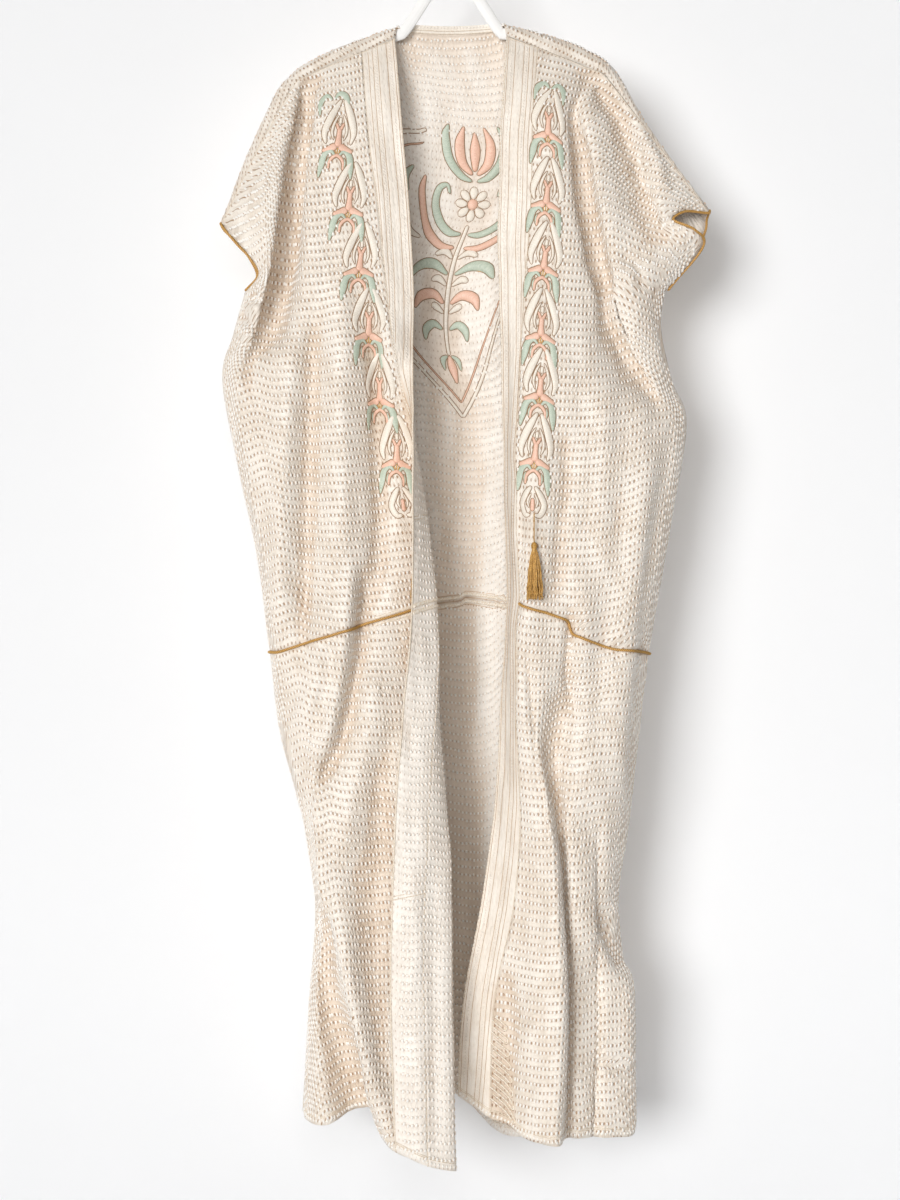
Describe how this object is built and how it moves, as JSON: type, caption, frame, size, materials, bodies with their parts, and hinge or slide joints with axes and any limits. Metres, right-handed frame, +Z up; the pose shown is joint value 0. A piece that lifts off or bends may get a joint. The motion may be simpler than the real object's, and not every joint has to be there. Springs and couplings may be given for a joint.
{
  "type": "kaftan on a hanger",
  "caption": "Long open-fronted cotton kaftan with short wide sleeves, front bands, gold cord and tassels, hung on a white hanger.",
  "frame": {"origin": "inside top of the hanger's hook, where it bears on a rod", "axes": "+Z up, -Y the way the garment's front faces, +X to the right as seen from the front"},
  "size_m": [0.5975, 0.1736, 1.5032],
  "materials": {
    "cotton": "cream cotton woven with rows of raised oval pips",
    "band_cotton": "cream cotton, pressed bands",
    "gold_cord": "gold twisted cord and silky tassels",
    "white_plastic": "satin white"
  },
  "bodies": {
    "root": {"front_left_upper": "cotton", "front_left_lower": "cotton", "front_right_upper": "cotton", "front_right_lower": "cotton", "back_yoke": "cotton", "back_upper": "cotton", "back_lower": "cotton", "front_band_left": "band_cotton", "front_band_right": "band_cotton", "back_neck_band": "band_cotton", "waist_cord_left": "gold_cord", "waist_cord_right": "gold_cord", "waist_cord_back": "gold_cord", "sleeve_cord_left": "gold_cord", "sleeve_cord_right": "gold_cord", "tassel_cord_left": "gold_cord", "tassel_cord_right": "gold_cord", "tassel_left": "gold_cord", "tassel_right": "gold_cord", "hanger_arms": "white_plastic", "hanger_hook": "white_plastic"}
  },
  "joints": []
}
